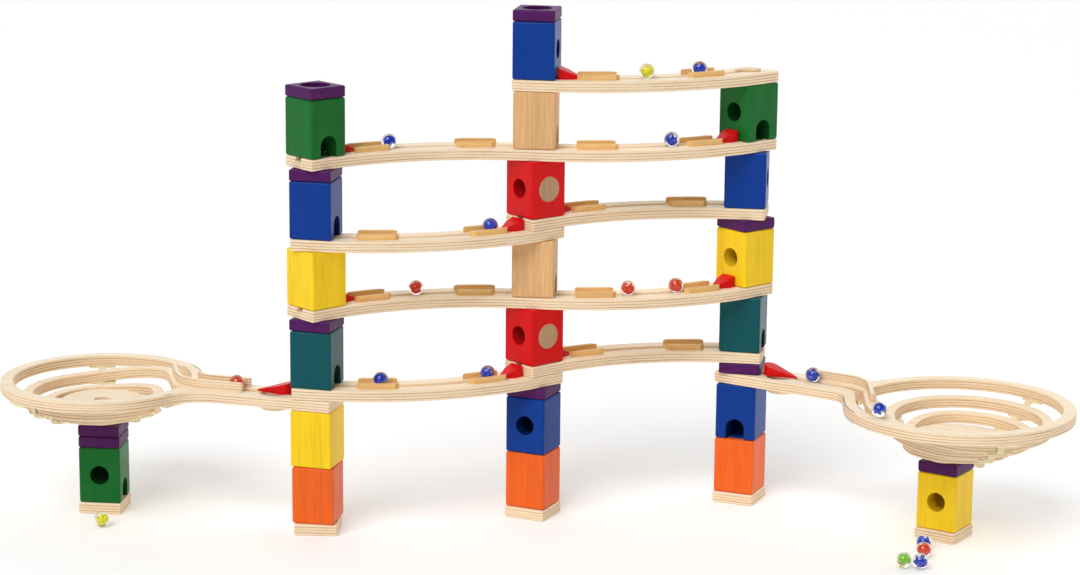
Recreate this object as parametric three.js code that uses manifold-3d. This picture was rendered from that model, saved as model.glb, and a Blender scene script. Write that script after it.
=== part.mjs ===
// Wooden marble run: five towers of turning blocks, seven curved rails with guide strips and
// ramps, two spiral funnels, and glass marbles in the grooves.
// Millimetres and degrees. The origin is on the table under the centre tower, +Z up,
// +X to the right along the front, and +Y away from the front.
import * as THREE from 'three';
import { mergeVertices } from 'three/addons/utils/BufferGeometryUtils.js';
import Module from 'manifold-3d';

const wasm = await Module();
wasm.setup();

// Driving dimensions of the building pieces
const BLOCK_WIDTH = 44;
const BLOCK_HEIGHT = 60;
const STEP_HEIGHT = 12;
const BASE_WIDTH = 45;
const SEAT_GAP = 0.3;
const PEG_RADIUS = 14.5;
const PEG_DEPTH = 5;
const SOCKET_RADIUS = 15.2;
const SOCKET_DEPTH = 5.6;
const BORE_RADIUS = 9;
const BORE_SIDES = 8;
const ROUND_SIDES = 12;
const EXIT_RADIUS = 10;
const EXIT_CENTRE = 30;
const MOUTH_SIDE = 12;
const CATCH_FLOOR = 16;

// Layout of the towers
const TOWER_SPACING = 232;
const LINE_HEADING = 14.5;
const TRACK_LENGTH = 242;
const LEFT_TRACK_HEADING = 162;
const RIGHT_TRACK_HEADING = -33.5;

// Rails
const ARC_HALF_ANGLE = 26;
const ARC_STEPS = 12;
const GROOVE_WIDTH = 9;
const GROOVE_DEPTH = 4.5;
const GUARD_INNER = 9.1;
const GUARD_OUTER = 14.1;
const GUARD_HEIGHT = 5.5;
const GUARD_START = 42;
const GUARD_END = 84;
const GUARD_CHAMFER = 4;
const GUARD_STEPS = 3;

// Ramps
const RAMP_HEIGHT = 12;
const RAMP_WIDTH = 18;
const SHORT_RAMP_START = 23.5;
const SHORT_RAMP_LENGTH = 26;
const LONG_RAMP_START = 28;
const LONG_RAMP_LENGTH = 38;
const RAMP_SHOULDER = 10;
const RAMP_TIP_WIDTH = 3;
const RAMP_TIP_HEIGHT = 1.5;
const RAMP_FOOT_CENTRE = 41;
const RAMP_FOOT_RADIUS = 7;

// Funnels: outer radius, how far the rings' centre lies past the peg, levels of drop, and the
// stages in which the strip drops: the turn at which each starts, and its share of the whole
const LEFT_FUNNEL = {
  radius: 106, offset: 0, drop: 2, join: 8, frontWall: true, ties: [58, 160, 295],
  stages: [[0, 0.6], [0.95, 0.4]],
};
const RIGHT_FUNNEL = {
  radius: 119, offset: 12, drop: 3, join: 7, frontWall: false, ties: [69, 181, 320],
  stages: [[0, 0.4], [0.95, 0.32], [1.75, 0.28]],
};
const RING_WIDTH = 13.5;
const STRIP_WIDTH = 11;
const HUB_RADIUS = 21;
const RING_SIDES = 40;
const FLOOR_SIDES = 24;
const LEAD_TURN = 60;
const LEAD_RADIUS = 30;
const LEAD_STEP = 12;
const STRIP_TURNS = 2.1;
const LANE_CHANGE = 0.3;
const DROP_RUN = 0.3;
const WALL_HEIGHT = 10;
const WALL_START = 80;
const TEE_WIDTH = 10;
const TEE_DEPTH = 5;
const TEE_RISE = 1;
const TEE_LAP = 4;
const RING_CORNER = 48;
const BEND_CORNER = 22;
const CORNER_STEPS = 4;

// Marbles
const MARBLE_RADIUS = 8;
const MARBLE_LIFT = 6.9;

const COLOURS = {
  beech: [0.83, 0.66, 0.42], birch: [0.86, 0.74, 0.55], red: [0.80, 0.06, 0.07],
  orange: [0.90, 0.36, 0.12], yellow: [0.93, 0.76, 0.12], green: [0.08, 0.42, 0.16],
  teal: [0.0, 0.34, 0.36], blue: [0.0, 0.20, 0.52], purple: [0.25, 0.10, 0.31],
  glass_blue: [0.45, 0.60, 0.90], glass_red: [0.90, 0.45, 0.35], glass_yellow: [0.90, 0.85, 0.30],
};

const DEGREE = Math.PI / 180;
// Joined pieces reach this far into each other
const OVERLAP = 1.5;
// and edges that would fall together are kept this far apart
const EDGE_CLEAR = 0.4;

const cosine = (angle) => Math.cos(angle * DEGREE);
const sine = (angle) => Math.sin(angle * DEGREE);
const level = (blocks, steps) => blocks * BLOCK_HEIGHT + steps * STEP_HEIGHT;
const ahead = ([x, y], heading, distance) => [x + distance * cosine(heading), y + distance * sine(heading)];

const CENTER = [0, 0];
const LEFT = ahead(CENTER, LINE_HEADING, -TOWER_SPACING);
const RIGHT = ahead(CENTER, LINE_HEADING, TOWER_SPACING);
const FAR_LEFT = ahead(LEFT, LEFT_TRACK_HEADING, TRACK_LENGTH);
const FAR_RIGHT = ahead(RIGHT, RIGHT_TRACK_HEADING, TRACK_LENGTH);

// Solids -------------------------------------------------------------------------------------

function toSolid(geometry) {
  geometry.deleteAttribute('normal');
  geometry.deleteAttribute('uv');
  const merged = mergeVertices(geometry, 1e-4);
  const mesh = new wasm.Mesh({
    numProp: 3,
    vertProperties: new Float32Array(merged.attributes.position.array),
    triVerts: new Uint32Array(merged.index.array),
  });
  return new wasm.Manifold(mesh);
}

function toGeometry(solid) {
  const mesh = solid.getMesh();
  const geometry = new THREE.BufferGeometry();
  geometry.setAttribute('position', new THREE.BufferAttribute(mesh.vertProperties, 3));
  geometry.setIndex(new THREE.BufferAttribute(mesh.triVerts, 1));
  geometry.computeVertexNormals();
  return geometry;
}

// A plan outline raised from one height to another
function prism(points, bottom, top) {
  const shape = new THREE.Shape(points.map(([x, y]) => new THREE.Vector2(x, y)));
  const geometry = new THREE.ExtrudeGeometry(shape, { depth: top - bottom, bevelEnabled: false });
  geometry.translate(0, 0, bottom);
  return toSolid(geometry);
}

function circlePoints([x, y], radius, sides) {
  const points = [];
  for (let i = 0; i < sides; i += 1) {
    points.push(ahead([x, y], (i * 360) / sides, radius));
  }
  return points;
}

const disc = (centre, radius, bottom, top, sides = ROUND_SIDES) =>
  prism(circlePoints(centre, radius, sides), bottom, top);

function squarePoints(centre, width, turn) {
  return [45, 135, 225, 315].map((corner) => ahead(centre, turn + corner, width * Math.SQRT1_2));
}

// An upright profile, given as [across, height], pushed from a start point along a heading
function tunnel(profile, start, heading, length, bottom) {
  const shape = new THREE.Shape(profile.map(([across, up]) => new THREE.Vector2(across, up)));
  const geometry = new THREE.ExtrudeGeometry(shape, { depth: length, bevelEnabled: false });
  const along = new THREE.Vector3(cosine(heading), sine(heading), 0);
  const up = new THREE.Vector3(0, 0, 1);
  const across = new THREE.Vector3().crossVectors(up, along);
  const placed = new THREE.Matrix4().makeBasis(across, up, along);
  placed.setPosition(start[0], start[1], bottom);
  geometry.applyMatrix4(placed);
  return toSolid(geometry);
}

// Sockets and bores in the top of a stacked piece, and the peg under it
function drilled(body, centre, bottom, top, boreFloor) {
  const peg = disc(centre, PEG_RADIUS, bottom - PEG_DEPTH, bottom + OVERLAP);
  const socket = disc(centre, SOCKET_RADIUS, top - SOCKET_DEPTH, top + 1);
  const bore = disc(centre, BORE_RADIUS, boreFloor, top, BORE_SIDES);
  return body.add(peg).subtract(socket).subtract(bore);
}

// Towers -------------------------------------------------------------------------------------

const EXIT_PROFILE = circlePoints([0, EXIT_CENTRE], EXIT_RADIUS, ROUND_SIDES);
const MOUTH_PROFILE = [[-EXIT_RADIUS, 0], [EXIT_RADIUS, 0]];
for (let angle = 0; angle <= 180; angle += 30) {
  MOUTH_PROFILE.push(ahead([0, MOUTH_SIDE], angle, EXIT_RADIUS));
}

// A block turned so that one face looks along "face". Holes are listed by the direction they
// leave in: round exits half way up, and arched mouths at the foot.
function blockSolid(centre, bottom, face, exits, mouths) {
  const top = bottom + BLOCK_HEIGHT - SEAT_GAP;
  let boreFloor = bottom - PEG_DEPTH - 1;
  if (exits.length) {
    boreFloor = bottom + CATCH_FLOOR;
  }
  if (mouths.length) {
    boreFloor = bottom;
  }
  const box = prism(squarePoints(centre, BLOCK_WIDTH, face), bottom, top);
  let body = drilled(box, centre, bottom, top, boreFloor);
  for (const heading of exits) {
    body = body.subtract(tunnel(EXIT_PROFILE, centre, heading, BLOCK_WIDTH, bottom));
  }
  for (const heading of mouths) {
    body = body.subtract(tunnel(MOUTH_PROFILE, centre, heading, BLOCK_WIDTH, bottom));
  }
  return body;
}

function adjusterSolid(centre, bottom, face) {
  const top = bottom + STEP_HEIGHT - SEAT_GAP;
  const body = prism(squarePoints(centre, BLOCK_WIDTH, face), bottom, top);
  return drilled(body, centre, bottom, top, bottom - PEG_DEPTH - 1);
}

function baseSolid(centre, face) {
  const top = STEP_HEIGHT - SEAT_GAP;
  const body = prism(squarePoints(centre, BASE_WIDTH, face), 0, top);
  return body.subtract(disc(centre, SOCKET_RADIUS, top - SOCKET_DEPTH, top + 1));
}

// Rails --------------------------------------------------------------------------------------

const ARC_RADIUS = TOWER_SPACING / 2 / sine(ARC_HALF_ANGLE);
const ARC_LENGTH = ARC_RADIUS * 2 * ARC_HALF_ANGLE * DEGREE;

// An arc that leaves a tower and reaches the next one. side is 1 where it turns left, so it
// bows towards the front, and -1 where it turns right.
function makeArc(start, side) {
  return { start, side, heading: LINE_HEADING - side * ARC_HALF_ANGLE };
}

function arcStation(arc, distance) {
  const turned = (arc.side * distance) / ARC_RADIUS / DEGREE;
  const centre = ahead(arc.start, arc.heading + 90, arc.side * ARC_RADIUS);
  const point = ahead(centre, arc.heading + turned - 90, arc.side * ARC_RADIUS);
  return { point, heading: arc.heading + turned };
}

function arcStations(arc, from, to, steps) {
  const stations = [];
  for (let i = 0; i <= steps; i += 1) {
    stations.push(arcStation(arc, from + ((to - from) * i) / steps));
  }
  return stations;
}

const sidePoint = (station, offset) => ahead(station.point, station.heading + 90, offset);

function bandPoints(stations, rightOffset, leftOffset) {
  const rightSide = stations.map((station) => sidePoint(station, rightOffset));
  const leftSide = stations.map((station) => sidePoint(station, leftOffset));
  return [...rightSide, ...leftSide.reverse()];
}

function withStubs(stations, length) {
  const first = stations[0];
  const last = stations[stations.length - 1];
  const before = { point: ahead(first.point, first.heading, -length), heading: first.heading };
  const after = { point: ahead(last.point, last.heading, length), heading: last.heading };
  return [before, ...stations, after];
}

// A pair of guide strips beside the groove, with ends cut at a slant
function guardSolids(arc, from, to, top) {
  const solids = [];
  for (const side of [-1, 1]) {
    const inner = arcStations(arc, from, to, GUARD_STEPS).map((s) => sidePoint(s, side * GUARD_INNER));
    const outer = arcStations(arc, from + GUARD_CHAMFER, to - GUARD_CHAMFER, GUARD_STEPS)
      .map((s) => sidePoint(s, side * GUARD_OUTER));
    const outline = side < 0 ? [...outer, ...inner.reverse()] : [...inner, ...outer.reverse()];
    solids.push(prism(outline, top - OVERLAP, top + GUARD_HEIGHT));
  }
  return solids;
}

// A ramp that comes down from a tower: full width at its high end and a blunt tip in the groove
function rampSolid(centre, heading, start, length, bottom, foot) {
  const half = RAMP_WIDTH / 2;
  const tip = RAMP_TIP_WIDTH / 2;
  const plan = [[start, -half], [start + RAMP_SHOULDER, -half], [start + length, -tip],
    [start + length, tip], [start + RAMP_SHOULDER, half], [start, half]];
  const placed = plan.map(([along, across]) => ahead(ahead(centre, heading, along), heading + 90, across));
  const outline = prism(placed, bottom - foot, bottom + RAMP_HEIGHT);
  const far = start + length + 1;
  const slope = [[start - 1, -foot - 1], [far, -foot - 1], [far, RAMP_TIP_HEIGHT], [start, RAMP_HEIGHT],
    [start - 1, RAMP_HEIGHT]];
  const sideways = ahead(centre, heading - 90, -RAMP_WIDTH);
  const wedge = tunnel(slope, sideways, heading - 90, 2 * RAMP_WIDTH, bottom);
  return outline.intersect(wedge);
}

// A rail through two or three towers. ramps lists [tower, heading away from it].
function railSolid(arcs, bottom, ramps) {
  const top = bottom + STEP_HEIGHT - SEAT_GAP;
  const stations = arcs.flatMap((arc, i) => arcStations(arc, 0, ARC_LENGTH, ARC_STEPS).slice(i ? 1 : 0));
  const line = withStubs(stations, BLOCK_WIDTH / 2);
  const grooveLine = withStubs(stations, BLOCK_WIDTH / 2 + 1);
  const half = BLOCK_WIDTH / 2;
  let rail = prism(bandPoints(line, -half, half), bottom, top);
  const grooveBand = bandPoints(grooveLine, -GROOVE_WIDTH / 2, GROOVE_WIDTH / 2);
  const groove = prism(grooveBand, top - GROOVE_DEPTH, top + 1);
  rail = rail.subtract(groove);
  for (const ramp of ramps) {
    const foot = GROOVE_DEPTH + OVERLAP;
    rail = rail.add(rampSolid(ramp[0], ramp[1], SHORT_RAMP_START, SHORT_RAMP_LENGTH, top, foot));
  }
  for (const arc of arcs) {
    for (const [from, to] of [[GUARD_START, GUARD_END], [ARC_LENGTH - GUARD_END, ARC_LENGTH - GUARD_START]]) {
      for (const guard of guardSolids(arc, from, to, top)) {
        rail = rail.add(guard);
      }
    }
  }
  const towers = [arcs[0].start, ...arcs.map((arc) => arcStation(arc, ARC_LENGTH).point)];
  for (const tower of towers) {
    rail = drilled(rail, tower, bottom, top, bottom - PEG_DEPTH - 1);
  }
  return rail;
}

// Funnels ------------------------------------------------------------------------------------

// Each funnel is built with its track coming in along +X to a peg at the origin, and then
// turned and placed. Marbles turn right off the track and circle anticlockwise.
const smooth = (t) => {
  const clamped = Math.min(Math.max(t, 0), 1);
  return clamped * clamped * (3 - 2 * clamped);
};

function leadPath(funnel) {
  const kerf = funnel.radius - RING_WIDTH - GROOVE_WIDTH / 2;
  const joinAngle = 270 - LEAD_TURN;
  const joinPoint = ahead([funnel.offset, 0], joinAngle, kerf);
  const fallInBend = LEAD_RADIUS * (1 - cosine(LEAD_TURN));
  const straight = (-joinPoint[1] - fallInBend) / sine(LEAD_TURN);
  const bendStart = joinPoint[0] - straight * cosine(LEAD_TURN) - LEAD_RADIUS * sine(LEAD_TURN);
  const stations = [];
  const bendCentre = [bendStart, -LEAD_RADIUS];
  for (let turned = 0; turned <= LEAD_TURN; turned += LEAD_STEP) {
    stations.push({ point: ahead(bendCentre, 90 - turned, LEAD_RADIUS), heading: -turned });
  }
  const onKerf = (angle) => ({ point: ahead([funnel.offset, 0], angle, kerf), heading: angle + 90 - 360 });
  for (let angle = joinAngle; angle <= joinAngle + 20; angle += 5) {
    stations.push(onKerf(angle));
  }
  return { stations, slotEnd: onKerf(joinAngle + 22), bendStart, joinAngle };
}

// Rounded inner corner between the track's left edge and the outer ring
function ringCorner(funnel) {
  const edge = BLOCK_WIDTH / 2 - EDGE_CLEAR;
  const reach = funnel.radius - EDGE_CLEAR;
  const across = edge + RING_CORNER;
  const x = funnel.offset - Math.sqrt((reach + RING_CORNER) ** 2 - across ** 2);
  const turn = Math.atan2(across, funnel.offset - x) / DEGREE;
  const points = [];
  for (let i = 0; i <= CORNER_STEPS; i += 1) {
    points.push(ahead([x, across], 270 + ((90 - turn) * i) / CORNER_STEPS, RING_CORNER));
  }
  const middle = funnel.radius - RING_WIDTH / 2;
  const inside = edge - RING_WIDTH / 2;
  points.push(ahead([funnel.offset, 0], 180 - turn, middle));
  points.push([funnel.offset - middle, inside]);
  points.push([x, inside]);
  return points;
}

// Rounded inner corner between the track's right edge and the bend
function bendCorner(lead) {
  const edge = BLOCK_WIDTH / 2 - EDGE_CLEAR;
  const bandEdge = GROOVE_WIDTH / 2 + RING_WIDTH - 2 * EDGE_CLEAR;
  const bendEnd = ahead([lead.bendStart, -LEAD_RADIUS], 90 - LEAD_TURN, LEAD_RADIUS);
  const outward = -LEAD_TURN - 90;
  const onBand = ahead(bendEnd, outward, bandEdge);
  const y = -edge - BEND_CORNER;
  const x = onBand[0] + (BEND_CORNER - (y - onBand[1]) * sine(outward)) / cosine(outward);
  const points = [];
  for (let i = 0; i <= CORNER_STEPS; i += 1) {
    points.push(ahead([x, y], 90 - (LEAD_TURN * i) / CORNER_STEPS, BEND_CORNER));
  }
  const last = points[points.length - 1];
  const inside = RING_WIDTH / 2 - edge;
  points.push(ahead(last, 90 - LEAD_TURN, RING_WIDTH / 2));
  points.push([last[0] - RING_WIDTH / 2, inside]);
  points.push([x, inside]);
  return points.reverse();
}

// Where the strip is after this many turns: its outer radius, and how far it has dropped
function stripState(funnel, turns) {
  const lane = Math.floor(turns) + smooth(((turns % 1) - 1 + LANE_CHANGE) / LANE_CHANGE);
  let share = 0;
  for (const [start, part] of funnel.stages) {
    share += part * smooth((turns - start) / DROP_RUN);
  }
  const firstOuter = funnel.radius - RING_WIDTH - GROOVE_WIDTH - EDGE_CLEAR;
  return { outer: firstOuter - (STRIP_WIDTH + GROOVE_WIDTH) * lane, drop: STEP_HEIGHT * funnel.drop * share };
}

// The strip that winds down inside the outer ring, as boxes between stations
function stripSolid(funnel, joinAngle, top) {
  const positions = [];
  const indices = [];
  const stepAngle = 15;
  const count = Math.round((STRIP_TURNS * 360) / stepAngle);
  for (let i = 0; i <= count; i += 1) {
    const { outer, drop } = stripState(funnel, (i * stepAngle) / 360);
    const angle = joinAngle + 3 + i * stepAngle;
    const high = top - drop - EDGE_CLEAR / 2;
    const low = high - STEP_HEIGHT + SEAT_GAP;
    const inner = outer - STRIP_WIDTH;
    for (const [radius, z] of [[outer, low], [outer, high], [inner, high], [inner, low]]) {
      const [x, y] = ahead([funnel.offset, 0], angle, radius);
      positions.push(x, y, z);
    }
  }
  for (let i = 0; i < count; i += 1) {
    for (let side = 0; side < 4; side += 1) {
      const a = 4 * i + side;
      const b = 4 * i + ((side + 1) % 4);
      indices.push(a, a + 4, b, b, a + 4, b + 4);
    }
  }
  const last = 4 * count;
  indices.push(0, 1, 2, 0, 2, 3);
  indices.push(last, last + 2, last + 1, last, last + 3, last + 2);
  const geometry = new THREE.BufferGeometry();
  geometry.setAttribute('position', new THREE.Float32BufferAttribute(positions, 3));
  geometry.setIndex(indices);
  return toSolid(geometry);
}

// Small bars that tie each ring to the one below it
function teeSolids(funnel, joinAngle, top) {
  const solids = [];
  const centre = [funnel.offset, 0];
  const half = TEE_WIDTH / 2;
  const ringState = { outer: funnel.radius - RING_WIDTH + STRIP_WIDTH, drop: 0 };
  for (let ring = 0; ring < 3; ring += 1) {
    for (const azimuth of funnel.ties) {
      const turns = ring + ((azimuth - joinAngle + 360) % 360) / 360;
      const lower = stripState(funnel, Math.min(turns, STRIP_TURNS));
      const upper = ring > 0 ? stripState(funnel, turns - 1) : ringState;
      const inner = lower.outer - TEE_LAP;
      const reach = upper.outer - STRIP_WIDTH + TEE_LAP - inner;
      const high = Math.max(-lower.drop, -upper.drop - STEP_HEIGHT) + TEE_RISE;
      const low = TEE_RISE - lower.drop - TEE_DEPTH;
      const profile = [[-half, low], [half, low], [half, high], [-half, high]];
      solids.push(tunnel(profile, ahead(centre, azimuth, inner), azimuth, reach, top));
    }
  }
  return solids;
}

function wallSolid(stations, side, top) {
  const offsets = side > 0 ? [GUARD_INNER, GUARD_OUTER] : [-GUARD_OUTER, -GUARD_INNER];
  return prism(bandPoints(stations, ...offsets), top - OVERLAP, top + WALL_HEIGHT);
}

function funnelSolid(funnel, bottom) {
  const top = bottom + STEP_HEIGHT - SEAT_GAP;
  const centre = [funnel.offset, 0];
  const lead = leadPath(funnel);
  const half = BLOCK_WIDTH / 2;
  const tower = [-TRACK_LENGTH, 0];
  const straightEnd = funnel.offset - funnel.radius + RING_WIDTH / 2;
  const halfGroove = GROOVE_WIDTH / 2;
  const bandHalf = halfGroove + RING_WIDTH;

  // Flat parts: the track, the outer ring and the band round the lead-in groove
  const trackEnds = [-TRACK_LENGTH - half, straightEnd].map((x) => ({ point: [x, 0], heading: 0 }));
  let flat = prism(bandPoints(trackEnds, -half, half), bottom, top);
  const ring = prism(circlePoints(centre, funnel.radius, RING_SIDES), bottom, top)
    .subtract(prism(circlePoints(centre, funnel.radius - RING_WIDTH, RING_SIDES), bottom - 1, top + 1));
  flat = flat.add(ring);
  flat = flat.add(prism(bandPoints(lead.stations, EDGE_CLEAR - bandHalf, bandHalf), bottom, top));
  flat = flat.add(prism(ringCorner(funnel), bottom, top));
  flat = flat.add(prism(bendCorner(lead), bottom, top));

  // Groove along the track, cut right through where it meets the rings
  const grooveEnds = [-TRACK_LENGTH - half - 1, lead.bendStart].map((x) => ({ point: [x, 0], heading: 0 }));
  const slot = [...lead.stations.slice(0, -1), lead.slotEnd];
  flat = flat.subtract(prism(bandPoints(grooveEnds, -halfGroove, halfGroove), top - GROOVE_DEPTH, top + 1));
  const slotBand = bandPoints(slot, 1.5 * EDGE_CLEAR - halfGroove, halfGroove);
  flat = flat.subtract(prism(slotBand, bottom - 1, top + 1));

  // Walls that keep the marble in the bend
  const wallStart = { point: [WALL_START - TRACK_LENGTH, 0], heading: 0 };
  const wallLine = [wallStart, ...lead.stations.slice(0, funnel.join)];
  flat = flat.add(wallSolid(wallLine, 1, top));
  if (funnel.frontWall) {
    flat = flat.add(wallSolid(wallLine.slice(0, 4), -1, top));
  }

  // Winding strip, floor disc, hub and ties
  const discTop = top - STEP_HEIGHT * funnel.drop;
  const discBottom = discTop - STEP_HEIGHT + SEAT_GAP;
  const pitch = STRIP_WIDTH + GROOVE_WIDTH;
  const discRadius = funnel.radius - RING_WIDTH - GROOVE_WIDTH - 2 * pitch;
  const floor = disc(centre, discRadius, discBottom, discTop, FLOOR_SIDES);
  const hub = disc([0, 0], HUB_RADIUS, discBottom - STEP_HEIGHT, discBottom + OVERLAP, FLOOR_SIDES);
  const peg = disc([0, 0], PEG_RADIUS, discBottom - STEP_HEIGHT - PEG_DEPTH, discBottom);
  const drain = disc([0, 0], BORE_RADIUS, discBottom - 3 * STEP_HEIGHT, discTop + 1, BORE_SIDES);
  let body = flat.add(stripSolid(funnel, lead.joinAngle, top)).add(floor).add(hub).add(peg).subtract(drain);
  for (const tee of teeSolids(funnel, lead.joinAngle, top)) {
    body = body.add(tee);
  }

  // Socket over the tower, and the second socket that the long ramp stands in
  body = drilled(body, tower, bottom, top, bottom - PEG_DEPTH - 1);
  const rampSeat = [LONG_RAMP_START + LONG_RAMP_LENGTH / 2 - TRACK_LENGTH, 0];
  body = body.add(disc(rampSeat, PEG_RADIUS, bottom - PEG_DEPTH, bottom + OVERLAP));
  return body.subtract(disc(rampSeat, SOCKET_RADIUS, top - SOCKET_DEPTH, top + 1));
}

function longRampSolid(bottom) {
  const ramp = rampSolid([0, 0], 0, LONG_RAMP_START, LONG_RAMP_LENGTH, bottom, 0);
  return ramp.add(disc([RAMP_FOOT_CENTRE, 0], RAMP_FOOT_RADIUS, bottom - PEG_DEPTH, bottom + OVERLAP));
}

// The set ------------------------------------------------------------------------------------

const group = new THREE.Group();

function addMesh(name, solid, colour, roughness = 0.45) {
  const [red, green, blue] = COLOURS[colour];
  const material = new THREE.MeshStandardMaterial({
    color: new THREE.Color(red, green, blue), roughness, metalness: 0,
  });
  const mesh = new THREE.Mesh(toGeometry(solid), material);
  mesh.name = name;
  group.add(mesh);
  return mesh;
}

// Blocks from the table up: name, tower, blocks and steps below it, face direction, colour,
// round exits, arched mouths. Directions are headings in the plan.
const BLOCKS = [
  ['left_orange_block', LEFT, 0, 1, -12, 'orange', [], []],
  ['left_lower_yellow_block', LEFT, 1, 1, -17, 'yellow', [], []],
  ['left_teal_block', LEFT, 2, 3, -16, 'teal', [], [-16]],
  ['left_upper_yellow_block', LEFT, 3, 5, 41, 'yellow', [], [41]],
  ['left_blue_block', LEFT, 4, 6, -14, 'blue', [], [-14]],
  ['left_green_block', LEFT, 5, 8, 41, 'green', [], [41, -49]],
  ['center_orange_block', CENTER, 0, 1, -26, 'orange', [], []],
  ['center_lower_blue_block', CENTER, 1, 1, -26, 'blue', [-116], []],
  ['center_lower_red_block', CENTER, 2, 4, 40, 'red', [40, 220], []],
  ['center_lower_natural_block', CENTER, 3, 5, -7, 'beech', [], [-7, 173]],
  ['center_upper_red_block', CENTER, 4, 7, 38, 'red', [38, 218], []],
  ['center_upper_natural_block', CENTER, 5, 8, -7, 'beech', [], [-7, 173]],
  ['center_top_blue_block', CENTER, 6, 9, -11, 'blue', [-11], []],
  ['right_orange_block', RIGHT, 0, 1, -24, 'orange', [], []],
  ['right_lower_blue_block', RIGHT, 1, 1, -22, 'blue', [], [-112]],
  ['right_teal_block', RIGHT, 2, 4, -16, 'teal', [], [-16]],
  ['right_yellow_block', RIGHT, 3, 5, 40, 'yellow', [220], []],
  ['right_upper_blue_block', RIGHT, 4, 7, -10, 'blue', [-10], []],
  ['right_green_block', RIGHT, 5, 8, 40, 'green', [220], [-50]],
  ['far_left_green_block', FAR_LEFT, 0, 1, -7, 'green', [-97], [-7]],
  ['far_right_yellow_block', FAR_RIGHT, 0, 1, -34, 'yellow', [-124], []],
];
for (const [name, tower, blocks, steps, face, colour, exits, mouths] of BLOCKS) {
  addMesh(name, blockSolid(tower, level(blocks, steps), face, exits, mouths), colour);
}

const ADJUSTERS = [
  ['left_lower_adjuster', LEFT, 3, 3, -19],
  ['left_middle_adjuster', LEFT, 5, 6, -14],
  ['left_top_adjuster', LEFT, 6, 8, 41],
  ['center_lower_adjuster', CENTER, 2, 1, -25],
  ['center_top_adjuster', CENTER, 7, 9, -11],
  ['right_lower_adjuster', RIGHT, 2, 2, -14],
  ['right_upper_adjuster', RIGHT, 4, 5, 38],
  ['far_left_lower_adjuster', FAR_LEFT, 1, 1, -7],
  ['far_left_upper_adjuster', FAR_LEFT, 1, 2, -8],
  ['far_right_adjuster', FAR_RIGHT, 1, 1, -34],
];
for (const [name, tower, blocks, steps, face] of ADJUSTERS) {
  addMesh(name, adjusterSolid(tower, level(blocks, steps), face), 'purple');
}

const BASES = [['left_base', LEFT, -4], ['center_base', CENTER, -26], ['right_base', RIGHT, -25],
  ['far_left_base', FAR_LEFT, -8], ['far_right_base', FAR_RIGHT, -35]];
for (const [name, tower, face] of BASES) {
  addMesh(name, baseSolid(tower, face), 'birch', 0.6);
}

// Rails: name, arcs as [start tower, side], height, ramps as [tower, heading away from it]
const OUT_BACK = LINE_HEADING + ARC_HALF_ANGLE;
const OUT_FRONT = LINE_HEADING - ARC_HALF_ANGLE;
const RAILS = [
  ['top_rail', [[CENTER, 1]], 6, 8, [[CENTER, OUT_FRONT]]],
  ['upper_long_rail', [[LEFT, -1], [CENTER, 1]], 5, 7, [[LEFT, OUT_BACK], [RIGHT, OUT_BACK + 180]]],
  ['upper_right_rail', [[CENTER, -1]], 4, 6, [[CENTER, OUT_BACK]]],
  ['upper_left_rail', [[LEFT, 1]], 4, 5, [[CENTER, OUT_BACK + 180]]],
  ['lower_long_rail', [[LEFT, -1], [CENTER, 1]], 3, 4, [[LEFT, OUT_BACK], [RIGHT, OUT_BACK + 180]]],
  ['lower_right_rail', [[CENTER, -1]], 2, 3, [[CENTER, OUT_BACK]]],
  ['lower_left_rail', [[LEFT, 1]], 2, 2, [[CENTER, OUT_BACK + 180]]],
];
for (const [name, legs, blocks, steps, ramps] of RAILS) {
  const arcs = legs.map(([start, side]) => makeArc(start, side));
  addMesh(name, railSolid(arcs, level(blocks, steps), ramps), 'birch', 0.6);
}

const FUNNELS = [['left', LEFT_FUNNEL, FAR_LEFT, LEFT, LEFT_TRACK_HEADING],
  ['right', RIGHT_FUNNEL, FAR_RIGHT, RIGHT, RIGHT_TRACK_HEADING]];
for (const [side, funnel, place, tower, heading] of FUNNELS) {
  const bottom = level(2, 1);
  const bowl = addMesh(`${side}_funnel`, funnelSolid(funnel, bottom), 'birch', 0.6);
  bowl.position.set(place[0], place[1], 0);
  bowl.rotation.z = heading * DEGREE;
  const ramp = addMesh(`${side}_long_ramp`, longRampSolid(bottom + STEP_HEIGHT), 'red');
  ramp.position.set(tower[0], tower[1], 0);
  ramp.rotation.z = heading * DEGREE;
}

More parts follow.
